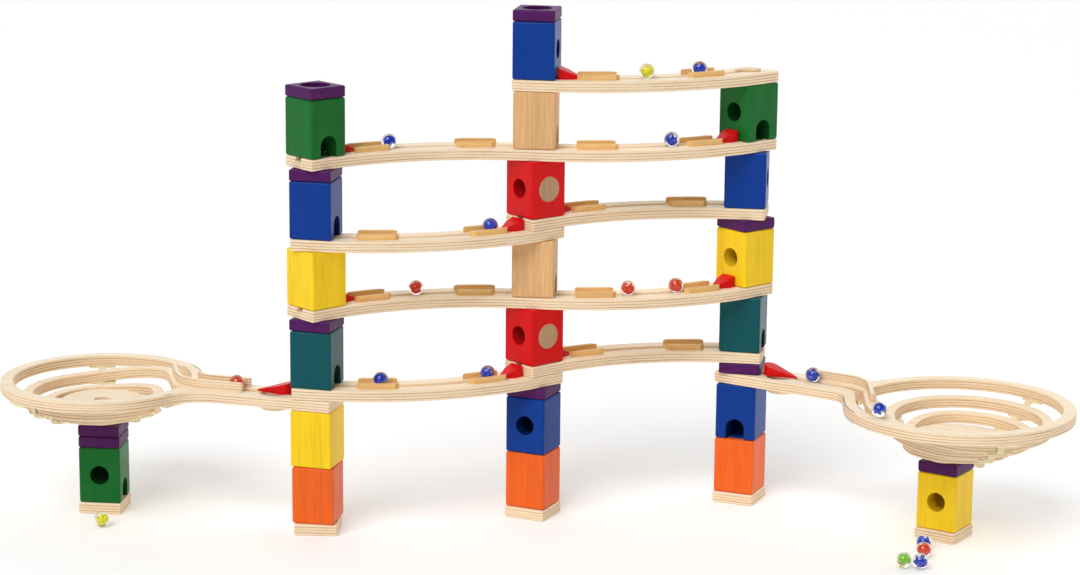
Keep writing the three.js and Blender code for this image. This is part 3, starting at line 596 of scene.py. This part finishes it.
# Wooden plugs in the sides of the two red blocks
for number, (tower, blocks, steps, face) in enumerate([(CENTER, 2, 4, 40), (CENTER, 4, 7, 38)]):
    body = ("center_lower_red_block", "center_upper_red_block")[number]
    profile = [(0, -PLUG_DEPTH), (PLUG_RADIUS, -PLUG_DEPTH), (PLUG_RADIUS, 0.1),
               (PLUG_RADIUS - PLUG_EDGE, 0.3), (0, PLUG_STAND)]
    tilt = Matrix.Rotation(math.radians(90), 4, "Y")
    piece = build(Shape().add(*lathe(profile, 64), tilt=tilt), body + "_plug")
    outward = ahead((0, 0), face - 90, BLOCK_WIDTH / 2)
    place = (tower[0] + outward[0], tower[1] + outward[1], level(blocks, steps) + EXIT_CENTRE)
    finish(piece, PLUG_WOOD, body, place, face - 90)


# Rails ---------------------------------------------------------------------------------------
ARC_RADIUS = TOWER_SPACING / 2 / sine(ARC_HALF_ANGLE)
ARC_LENGTH = ARC_RADIUS * math.radians(2 * ARC_HALF_ANGLE)
OUT_BACK, OUT_FRONT = LINE_HEADING + ARC_HALF_ANGLE, LINE_HEADING - ARC_HALF_ANGLE


def arc_station(start, side, distance):
    heading = LINE_HEADING - side * ARC_HALF_ANGLE
    turned = math.degrees(side * distance / ARC_RADIUS)
    centre = ahead(start, heading + 90, side * ARC_RADIUS)
    return ahead(centre, heading + turned - 90, side * ARC_RADIUS), heading + turned


def arc_stations(start, side, low, high, steps):
    return [arc_station(start, side, low + (high - low) * i / steps) for i in range(steps + 1)]


def band(stations, right, left):
    """The outline between two lines beside a path."""
    edge = [ahead(p, h + 90, right) for p, h in stations]
    return edge + [ahead(p, h + 90, left) for p, h in reversed(stations)]


def rounded_end(stations, half, corner=2.0):
    """A band's outline with softened corners at both ends."""
    outline = []
    for (point, heading), side in ((stations[0], 180), (stations[-1], 0)):
        out = heading + side
        for turn in range(0, 91, 30):
            centre = ahead(ahead(point, out, -corner), out - 90, half - corner)
            outline.append(ahead(centre, out - 90 + turn, corner))
        for turn in range(0, 91, 30):
            centre = ahead(ahead(point, out, -corner), out + 90, half - corner)
            outline.append(ahead(centre, out + turn, corner))
    first, last = outline[:8], outline[8:]
    inner = stations[1:-1]
    right = [ahead(p, h + 90, -half) for p, h in inner]
    left = [ahead(p, h + 90, half) for p, h in reversed(inner)]
    return first + right + last + left


def ramp_shape(start, length, foot, rounding):
    """A red ramp along +x: full height at the tower, a blunt low tip in the groove."""
    half, tip, end = RAMP_WIDTH / 2, RAMP_TIP_WIDTH / 2, start + length
    plan = []
    for turn in range(0, 91, 18):
        plan.append(ahead((start + rounding, -half + rounding), 180 + turn, rounding))
    shoulder, blunt = start + max(RAMP_SHOULDER, rounding + 1), 0.8
    plan += [(shoulder, -half), (end - blunt, -tip), (end, -tip + blunt),
             (end, tip - blunt), (end - blunt, tip), (shoulder, half)]
    for turn in range(0, 91, 18):
        plan.append(ahead((start + rounding, half - rounding), 90 + turn, rounding))

    def slope(x, _):
        return RAMP_HEIGHT + (RAMP_TIP_HEIGHT - RAMP_HEIGHT) * min(max((x - start) / length, 0), 1)

    return Shape().add(*slab([plan], [], -foot, slope, round_top=0.9))


RAILS = [
    ("top_rail", [(CENTER, 1)], 6, 8, [(CENTER, OUT_FRONT)]),
    ("upper_long_rail", [(LEFT, -1), (CENTER, 1)], 5, 7, [(LEFT, OUT_BACK), (RIGHT, OUT_BACK + 180)]),
    ("upper_right_rail", [(CENTER, -1)], 4, 6, [(CENTER, OUT_BACK)]),
    ("upper_left_rail", [(LEFT, 1)], 4, 5, [(CENTER, OUT_BACK + 180)]),
    ("lower_long_rail", [(LEFT, -1), (CENTER, 1)], 3, 4, [(LEFT, OUT_BACK), (RIGHT, OUT_BACK + 180)]),
    ("lower_right_rail", [(CENTER, -1)], 2, 3, [(CENTER, OUT_BACK)]),
    ("lower_left_rail", [(LEFT, 1)], 2, 2, [(CENTER, OUT_BACK + 180)]),
]


def local(origin, turn, point):
    x, y = point[0] - origin[0], point[1] - origin[1]
    return (x * cosine(turn) + y * sine(turn), -x * sine(turn) + y * cosine(turn))


def local_path(origin, turn, stations):
    return [(local(origin, turn, p), h - turn) for p, h in stations]


for name, arcs, blocks, steps, ramps in RAILS:
    origin, base = arcs[0][0], level(blocks, steps)
    stations = []
    for start, side in arcs:
        stations += arc_stations(start, side, 0, ARC_LENGTH, 36)[1 if stations else 0:]
    towers = [arcs[0][0]] + [arc_station(start, side, ARC_LENGTH)[0] for start, side in arcs]
    reach = BLOCK_WIDTH / 2
    first = (ahead(*stations[0], -reach), stations[0][1])
    last = (ahead(*stations[-1], reach), stations[-1][1])
    line = local_path(origin, LINE_HEADING, [first, *stations, last])
    groove_line = [(ahead(*line[0], -1), line[0][1]), *line[1:-1], (ahead(*line[-1], 1), line[-1][1])]
    outline = rounded_end(line, reach)
    groove = band(groove_line, -GROOVE_WIDTH / 2, GROOVE_WIDTH / 2)
    places = [local(origin, LINE_HEADING, tower) for tower in towers]
    bores, sockets = [circle(p, BORE_RADIUS, 48) for p in places], [circle(p, SOCKET_RADIUS) for p in places]
    shape = Shape()
    shape.add(*slab([outline], bores, 0, PLY - GROOVE_DEPTH, round_bottom=1.1))
    shape.add(*slab([outline], [groove] + sockets, PLY - GROOVE_DEPTH, PLY, round_top=0.9))
    for x, y in places:
        rim = Shape()
        peg(rim, 0.0)
        shape.add([(p.x + x, p.y + y, p.z) for p in rim.points], rim.faces, ply=rim.ply)
    piece = build(shape, name + "_look")
    finish(piece, BIRCH, "frame", (*origin, base), LINE_HEADING, stands_for=[name])
    for number, (tower, heading) in enumerate(ramps):
        piece = build(ramp_shape(*SHORT_RAMP, 1.0, 0.8), f"{name}_ramp_{number + 1}")
        finish(piece, PAINTED["red"], "frame", (*tower, base + PLY), heading)
    count = 0
    for start, side in arcs:
        for low, high in ((GUARD_START, GUARD_END), (ARC_LENGTH - GUARD_END, ARC_LENGTH - GUARD_START)):
            middle, turn = arc_station(start, side, (low + high) / 2)
            for hand in (-1, 1):
                count += 1
                inner = local_path(middle, turn, arc_stations(start, side, low, high, 8))
                outer = local_path(middle, turn, arc_stations(start, side, low + 4, high - 4, 8))
                near = [ahead(p, h + 90, hand * GUARD_INNER) for p, h in inner]
                far = [ahead(p, h + 90, hand * GUARD_OUTER) for p, h in outer]
                plan = far + near[::-1] if hand < 0 else near + far[::-1]
                guard = Shape().add(*slab([plan], [], -GLUE_DEPTH, GUARD_HEIGHT, round_top=0.6))
                piece = build(guard, f"{name}_guide_{count}")
                finish(piece, STRIP_WOOD, "frame", (*middle, base + PLY), turn)


# Funnels -------------------------------------------------------------------------------------
def lead_path(funnel):
    """The bend from the track into the slot, and the slot's first stretch round the ring."""
    kerf = funnel["radius"] - RING_WIDTH - GROOVE_WIDTH / 2
    join = 270 - LEAD_TURN
    centre = (funnel["offset"], 0)
    join_point = ahead(centre, join, kerf)
    fall = LEAD_RADIUS * (1 - cosine(LEAD_TURN))
    straight = (-join_point[1] - fall) / sine(LEAD_TURN)
    bend_start = join_point[0] - straight * cosine(LEAD_TURN) - LEAD_RADIUS * sine(LEAD_TURN)
    pivot = (bend_start, -LEAD_RADIUS)
    bend = [(ahead(pivot, 90 - t, LEAD_RADIUS), -t) for t in range(0, LEAD_TURN + 1, 4)]
    ring = [(ahead(centre, join + t, kerf), join + t - 270) for t in range(0, 21, 2)]
    if straight < 0.5:
        ring = ring[1:]
    return bend, ring, (ahead(centre, join + 22, kerf), join + 22 - 270), bend_start, join


def ring_corner(funnel):
    """The rounded inner corner between the track's left edge and the outer ring."""
    edge, reach = BLOCK_WIDTH / 2, funnel["radius"]
    across = edge + RING_CORNER
    x = funnel["offset"] - math.sqrt((reach + RING_CORNER) ** 2 - across ** 2)
    turn = math.degrees(math.atan2(across, funnel["offset"] - x))
    points = [ahead((x, across), 270 + (90 - turn) * i / 12, RING_CORNER) for i in range(13)]
    middle, inside = reach - RING_WIDTH / 2, edge - RING_WIDTH / 2
    points.append(ahead((funnel["offset"], 0), 180 - turn, middle))
    return points + [(funnel["offset"] - middle, inside), (x, inside)]


def bend_corner(bend):
    """The rounded inner corner between the track's right edge and the bend."""
    edge, band_edge, outward = BLOCK_WIDTH / 2, GROOVE_WIDTH / 2 + RING_WIDTH - 0.4, -LEAD_TURN - 90
    on_band = ahead(bend[-1][0], outward, band_edge)
    y = -edge - BEND_CORNER
    x = on_band[0] + (BEND_CORNER - (y - on_band[1]) * sine(outward)) / cosine(outward)
    points = [ahead((x, y), 90 - LEAD_TURN * i / 10, BEND_CORNER) for i in range(11)]
    last, inside = points[-1], RING_WIDTH / 2 - edge
    points += [ahead(last, 90 - LEAD_TURN, RING_WIDTH / 2), (last[0] - RING_WIDTH / 2, inside), (x, inside)]
    return points[::-1]


def rounded_rect(low, high, bottom, top, edge):
    """A section with rounded corners, as (across, height), going round once."""
    out = []
    for cx, cz, start in ((high - edge, top - edge, 0), (low + edge, top - edge, 90),
                          (low + edge, bottom + edge, 180), (high - edge, bottom + edge, 270)):
        out += [ahead((cx, cz), start + turn, edge) for turn in range(0, 91, 30)]
    return out


def strip_state(funnel, turns, top):
    """The winding strip's outer radius and its height after so many turns."""
    outer = funnel["radius"] - RING_WIDTH - GROOVE_WIDTH - 0.4
    lane = math.floor(turns) + smooth((turns % 1 - 1 + LANE_CHANGE) / LANE_CHANGE)
    share = sum(part * smooth((turns - start) / DROP_RUN) for start, part in funnel["stages"])
    return outer - (STRIP_WIDTH + GROOVE_WIDTH) * lane, top - STEP_HEIGHT * funnel["drop"] * share - 0.2


def strip_shape(funnel, join, top):
    """The strip that winds inward, and down at each drop."""
    count = round(STRIP_TURNS * 360 / STRIP_STEP)
    centre, rings, ply = (funnel["offset"], 0), [], []
    section = rounded_rect(-STRIP_WIDTH, 0, -PLY, 0, 1.3)
    for i in range(count + 1):
        turns = i * STRIP_STEP / 360
        outer, high = strip_state(funnel, turns, top)
        angle = join + STRIP_START + i * STRIP_STEP
        rings.append([(*ahead(centre, angle, outer + across), high + up) for across, up in section])
        ply += [up + PLY for _, up in section]
    points, faces = loft(rings)
    return Shape().add(points, faces, ply=ply)


def tie_shape(upper, width, lower, drop):
    """One tie between two neighbouring rings, along +x from the lower ring to the upper one:
    a cross piece under the upper ring, and a stem down to a round pad under the lower one."""
    shape = Shape()
    near, far, reach = 1.8, width - 1.8, 12.5
    corners = ((far, reach, 0), (near, reach, 90), (near, -reach, 180), (far, -reach, 270))
    bar = [ahead((upper + x, y), start + turn, 1.6) for x, y, start in corners for turn in (0, 45, 90)]
    shape.add(*slab([bar], [], -2.2, 0.2, round_bottom=0.7))
    between = (upper + lower) / 2
    path = [(upper + 3, -1.2), (between + 2, -1.8), (between - 2, -drop + 0.2), (lower, -drop - 1.3)]
    rings = []
    for i in range(13):
        t = 3 * i / 12
        k = min(int(t), 2)
        f = smooth(t - k)
        x = path[k][0] + (path[k + 1][0] - path[k][0]) * (t - k)
        z = path[k][1] + (path[k + 1][1] - path[k][1]) * f
        rings.append([(x, a, z + b) for a, b in rounded_rect(-4, 4, -1.3, 1.3, 0.8)])
    shape.add(*loft(rings))
    shape.add(*slab([circle((lower, 0), 5.4, 28)], [], -drop - 5.0, -drop + 0.2, round_bottom=2.2))
    return shape


def wall_shape(path, low, high, height):
    """An upright guide wall along a path, with rounded top and ends."""
    return Shape().add(*slab([rounded_wall(path, low, high)], [], -GLUE_DEPTH, height, round_top=1.4))


def rounded_wall(path, low, high):
    half, middle = (high - low) / 2, (high + low) / 2
    centre = [(ahead(p, h + 90, middle), h) for p, h in path]
    outline = [ahead(p, h + 90, -half) for p, h in centre]
    outline += [ahead(centre[-1][0], centre[-1][1] - 90 + t, half) for t in range(30, 180, 30)]
    outline += [ahead(p, h + 90, half) for p, h in reversed(centre)]
    outline += [ahead(centre[0][0], centre[0][1] + 90 + t, half) for t in range(30, 180, 30)]
    return outline


FUNNELS = [("left", LEFT_FUNNEL, FAR_LEFT, LEFT, LEFT_TRACK_HEADING),
           ("right", RIGHT_FUNNEL, FAR_RIGHT, RIGHT, RIGHT_TRACK_HEADING)]
for side, funnel, place, tower, heading in FUNNELS:
    base, centre, radius = level(2, 1), (funnel["offset"], 0), funnel["radius"]
    bend, ring, slot_end, bend_start, join = lead_path(funnel)
    half, half_groove = BLOCK_WIDTH / 2, GROOVE_WIDTH / 2
    straight_end = funnel["offset"] - radius + RING_WIDTH / 2
    start = -TRACK_LENGTH - half
    track = rounded_end([((x, 0), 0) for x in (start, start + 5, straight_end - 5, straight_end)], half)
    outer = circle(centre, radius, RING_SIDES)
    inner = circle(centre, radius - RING_WIDTH, RING_SIDES)
    lead = band(bend + ring, 0.4 - half_groove - RING_WIDTH, half_groove + RING_WIDTH)
    groove = band([((start - 1, 0), 0), ((bend_start, 0), 0)], -half_groove, half_groove)
    cut = band(bend + ring[:-1] + [slot_end], 0.6 - half_groove, half_groove)
    # The outer ring is given to slab as many small outlines, so that its middle stays open
    ring_parts = []
    for i in range(RING_SIDES):
        j = (i + 1) % RING_SIDES
        ring_parts.append((outer[i], outer[j], inner[j], inner[i]))
    rim_socket = circle((-TRACK_LENGTH, 0), SOCKET_RADIUS)
    rim_bore = circle((-TRACK_LENGTH, 0), BORE_RADIUS, 48)
    seat = (LONG_RAMP[0] + LONG_RAMP[1] / 2 - TRACK_LENGTH, 0)
    shape = Shape()
    solids = [track, lead, ring_corner(funnel), bend_corner(bend)] + ring_parts
    shape.add(*slab(solids, [cut, rim_bore], 0, PLY - GROOVE_DEPTH, round_bottom=1.4))
    shape.add(*slab(solids, [cut, groove, rim_socket, circle(seat, SOCKET_RADIUS)], PLY - GROOVE_DEPTH, PLY,
                    round_top=1.2))
    for x, y in ((-TRACK_LENGTH, 0), seat):
        rim = Shape()
        peg(rim, 0.0, BORE_RADIUS if x < seat[0] else 0.5)
        shape.add([(p.x + x, p.y + y, p.z) for p in rim.points], rim.faces, ply=rim.ply)
    piece = build(shape, f"{side}_funnel_plate")
    spot, stands_for = (*place, base), [f"{side}_funnel"]
    finish(piece, BIRCH, "frame", spot, heading, stands_for=stands_for)

    piece = build(strip_shape(funnel, join, PLY), f"{side}_funnel_strip")
    finish(piece, BIRCH, "frame", spot, heading)

    disc_top = PLY - STEP_HEIGHT * funnel["drop"]
    disc_bottom, hub_bottom = disc_top - PLY, disc_top - PLY - STEP_HEIGHT
    disc_radius = radius - RING_WIDTH - GROOVE_WIDTH - 2 * (STRIP_WIDTH + GROOVE_WIDTH)
    disc, hub = circle(centre, disc_radius, 96), circle((0, 0), HUB_RADIUS, 72)
    bore = circle((0, 0), BORE_RADIUS, 48)
    shape = Shape()
    shape.add(*slab([disc], [bore], disc_bottom, disc_top, round_bottom=1.2, round_top=1.2))
    shape.add(*slab([hub], [bore], hub_bottom, disc_bottom + 0.3, round_bottom=0.8))
    foot = Shape()
    peg(foot, hub_bottom)
    shape.add(foot.points, foot.faces, ply=foot.ply)
    shape.ply = [(z - disc_top) % STEP_HEIGHT for z in shape.ply]
    piece = build(shape, f"{side}_funnel_floor")
    finish(piece, BIRCH, "frame", (*place, base), heading)

    wall_path = [((WALL_START - TRACK_LENGTH, 0), 0), *bend, *ring]
    inner_wall = wall_path[:len(bend) + 3 if funnel["front_wall"] else len(bend) + 2]
    walls = [wall_shape(inner_wall, GUARD_INNER, GUARD_OUTER, WALL_HEIGHT)]
    if funnel["front_wall"]:
        walls.append(wall_shape(wall_path[:len(bend) + 1], -GUARD_OUTER, -GUARD_INNER, WALL_HEIGHT))
    for number, wall in enumerate(walls):
        piece = build(wall, f"{side}_funnel_wall_{number + 1}")
        finish(piece, BIRCH, "frame", (*place, base + PLY), heading)

    for ring_number in range(3):
        for azimuth in funnel["ties"]:
            turns = ((azimuth - join - STRIP_START) % 360) / 360 + ring_number
            low_radius, low_top = strip_state(funnel, min(turns, STRIP_TURNS), PLY)
            high_radius, high_top, width = radius, PLY, RING_WIDTH
            if ring_number:
                high_radius, high_top = strip_state(funnel, turns - 1, PLY)
                width = STRIP_WIDTH
            shape = tie_shape(high_radius - width, width, low_radius - 5, high_top - low_top)
            piece = build(shape, f"{side}_funnel_tie_{ring_number + 1}_{azimuth}")
            spot = (*ahead(place, heading, funnel["offset"]), base + high_top - PLY)
            finish(piece, TIE_WOOD, "frame", spot, azimuth + heading)

    shape = ramp_shape(*LONG_RAMP, 0.0, 8.0)
    piece = build(shape, f"{side}_long_ramp_look")
    spot, stands_for = (*tower, base + STEP_HEIGHT), [f"{side}_long_ramp"]
    finish(piece, PAINTED["red"], "frame", spot, heading, stands_for=stands_for)


# Marbles -------------------------------------------------------------------------------------
def vane_shape(radius, twist, fill):
    """Four glass ribbons that cross and twist through a marble.
    fill is how much of the space between them they take up."""
    rings = []
    for i in range(25):
        z = radius * (i / 12 - 1) * 0.97
        reach = radius * math.sqrt(max(1 - (z / radius) ** 2, 0.02))
        ring = []
        for j in range(48):
            angle = 7.5 * j
            lobe = fill + (1 - fill) * abs(cosine(2 * angle)) ** 6
            ring.append((*ahead((0, 0), angle + twist * z / radius, reach * lobe), z))
        rings.append(ring)
    return rings


def marble(name, place, colour, fill, body, pose, stands_for=()):
    """Clear glass with coloured ribbons in it."""
    profile = [(MARBLE_RADIUS * sine(180 * i / 32), -MARBLE_RADIUS * cosine(180 * i / 32)) for i in range(33)]
    shape = Shape().add(*lathe(profile, 64))
    split = len(shape.faces)
    spin = Matrix.Rotation(math.radians(pose[0]), 4, "Y") @ Matrix.Rotation(math.radians(pose[1]), 4, "X")
    shape.add(*loft(vane_shape(VANE_RADIUS + VANE_GROWTH * fill, VANE_TWIST, fill)), tilt=spin)
    piece = build(shape, name)
    glass = [GLASS, VANES[colour]]
    finish(piece, glass, body, place, pose[2], sharp=80, stands_for=stands_for)
    for face in piece.data.polygons[split:]:
        face.material_index = 1


def on_arc(start, side, distance):
    return arc_station(start, side, distance)[0]


FUNNEL_CENTRE = ahead(FAR_RIGHT, RIGHT_TRACK_HEADING, RIGHT_FUNNEL["offset"])
KERF_RADIUS = RIGHT_FUNNEL["radius"] - RING_WIDTH - GROOVE_WIDTH / 2
MARBLES = [
    ("top_rail_yellow_marble", on_arc(CENTER, 1, 114.5), level(6, 9), "yellow", 0.5, (20, 10, 0)),
    ("top_rail_blue_marble", on_arc(CENTER, 1, 173.6), level(6, 9), "blue", 0.12, (60, 20, 10)),
    ("upper_long_rail_left_marble", on_arc(LEFT, -1, 86), level(5, 8), "blue", 0.12, (80, 5, 40)),
    ("upper_long_rail_right_marble", on_arc(CENTER, 1, 143), level(5, 8), "blue", 0.3, (100, 30, 0)),
    ("upper_left_rail_marble", on_arc(LEFT, 1, 183), level(4, 6), "blue", 0.9, (10, 70, 0)),
    ("lower_long_rail_left_marble", on_arc(LEFT, -1, 115), level(3, 5), "red", 0.15, (15, 0, 60)),
    ("lower_long_rail_middle_marble", on_arc(CENTER, 1, 98), level(3, 5), "red", 0.45, (70, 40, 20)),
    ("lower_long_rail_right_marble", on_arc(CENTER, 1, 151), level(3, 5), "red", 0.85, (30, 80, 0)),
    ("lower_left_rail_first_marble", on_arc(LEFT, 1, 66), level(2, 3), "blue", 0.3, (50, 10, 70)),
    ("lower_left_rail_second_marble", on_arc(LEFT, 1, 181), level(2, 3), "blue", 0.5, (120, 50, 0)),
    ("left_track_marble", ahead(LEFT, LEFT_TRACK_HEADING, 89), level(2, 2), "red", 0.9, (40, 60, 30)),
    ("right_track_marble", ahead(RIGHT, RIGHT_TRACK_HEADING, 85), level(2, 2), "blue", 0.5, (85, 75, 0)),
    ("right_funnel_marble", ahead(FUNNEL_CENTRE, 208, KERF_RADIUS), level(2, 2), "blue", 0.15, (65, 15, 50)),
]
for name, point, surface, colour, fill, pose in MARBLES:
    height = surface - SEAT_GAP + MARBLE_LIFT
    marble(name + "_look", (*point, height), colour, fill, name, pose, stands_for=[name])

ON_TABLE = [("yellow", 0.5, (-450, -50), (25, 10, 0)), ("green", 0.3, (370, -181), (95, 5, 20)),
            ("blue", 0.5, (386.2, -184), (30, 70, 10)), ("red", 0.7, (395, -148), (70, 30, 40)),
            ("blue", 0.5, (399, -121), (80, 20, 0))]
for number, (colour, fill, point, pose) in enumerate(ON_TABLE):
    marble(f"table_marble_{number + 1}", (*point, MARBLE_RADIUS), colour, fill, "frame", pose)


# Floor, light and camera ---------------------------------------------------------------------
def floor_finish(name):
    s = Shader(name)
    tone = s.noise((3.0, 3.0, 3.0), detail=1.0)
    s.put(s.surface, "Base Color", s.ramp(tone, [(0, grey(0.92)), (1, grey(0.95))]))
    s.put(s.surface, "Roughness", 0.8)
    s.put(s.surface, "Specular IOR Level", 0.1)
    s.put(s.surface, "Emission Color", grey(1.0))
    s.put(s.surface, "Emission Strength", 0.12)
    return s.material


FLOOR_REACH, FLOOR_HEIGHT = 30000, -0.5
corners = [(x * FLOOR_REACH, y * FLOOR_REACH, FLOOR_HEIGHT) for x, y in ((-1, -1), (1, -1), (1, 1), (-1, 1))]
floor = build(Shape().add(corners, [(0, 1, 2, 3)]), "studio_floor")
floor.data.materials.append(floor_finish("studio_floor"))

# A white backdrop behind the toy, and a dim room on the side it is seen from
WORLD_TONES = ((0.0, 0.22), (0.7, 1.04))
world = bpy.data.worlds.new("studio")
world.use_nodes = True
nodes, links = world.node_tree.nodes, world.node_tree.links
direction, split, tone = [nodes.new("ShaderNode" + kind) for kind in ("TexCoord", "SeparateXYZ", "ValToRGB")]
for element, (position, value) in zip(tone.color_ramp.elements, WORLD_TONES):
    element.position, element.color = position, grey(value)
links.new(direction.outputs["Generated"], split.inputs[0])
links.new(split.outputs["Y"], tone.inputs[0])
links.new(tone.outputs[0], nodes["Background"].inputs["Color"])
bpy.context.scene.world = world


def aim(piece, place, target):
    piece.location = place
    piece.rotation_euler = (Vector(target) - Vector(place)).to_track_quat("-Z", "Y").to_euler()
    bpy.context.scene.collection.objects.link(piece)


sun = bpy.data.lights.new("key", "SUN")
sun.energy, sun.angle = 2.1, 0.7
aim(bpy.data.objects.new("key", sun), (-1.2, -2.2, 2.6), (0, 0, 0))
panel = bpy.data.lights.new("right_panel", "AREA")
panel.shape, panel.size, panel.energy = "SQUARE", 1.6, 8.0
aim(bpy.data.objects.new("right_panel", panel), (2.0, 0.6, 1.0), (0, 0, 0.25))

# FOCAL is in the photograph's pixels
FOCAL, PITCH, ROLL, YAW = 2964.0, 12.68, 0.567, 1.36
PHOTO_WIDTH, SENSOR_WIDTH = 1080, 36.0
turned = Matrix.Rotation(math.radians(-YAW), 3, "Z")
forward = turned @ Vector((0, cosine(PITCH), -sine(PITCH)))
upward = turned @ Vector((0, sine(PITCH), cosine(PITCH)))
sideways = turned @ Vector((1, 0, 0))
right = sideways * cosine(ROLL) + upward * sine(ROLL)
upright = upward * cosine(ROLL) - sideways * sine(ROLL)
lens = bpy.data.cameras.new("camera")
lens.sensor_width = SENSOR_WIDTH
lens.lens = SENSOR_WIDTH * FOCAL / PHOTO_WIDTH
lens.clip_end = 200.0
camera = bpy.data.objects.new("camera", lens)
basis = Matrix((right, upright, -forward)).transposed().to_4x4()
basis.translation = turned @ Vector((0.0055, -3.021, 0.926))
camera.matrix_world = basis
bpy.context.scene.collection.objects.link(camera)
bpy.context.scene.camera = camera
bpy.context.scene.view_settings.view_transform = "Standard"

bpy.context.view_layer.update()
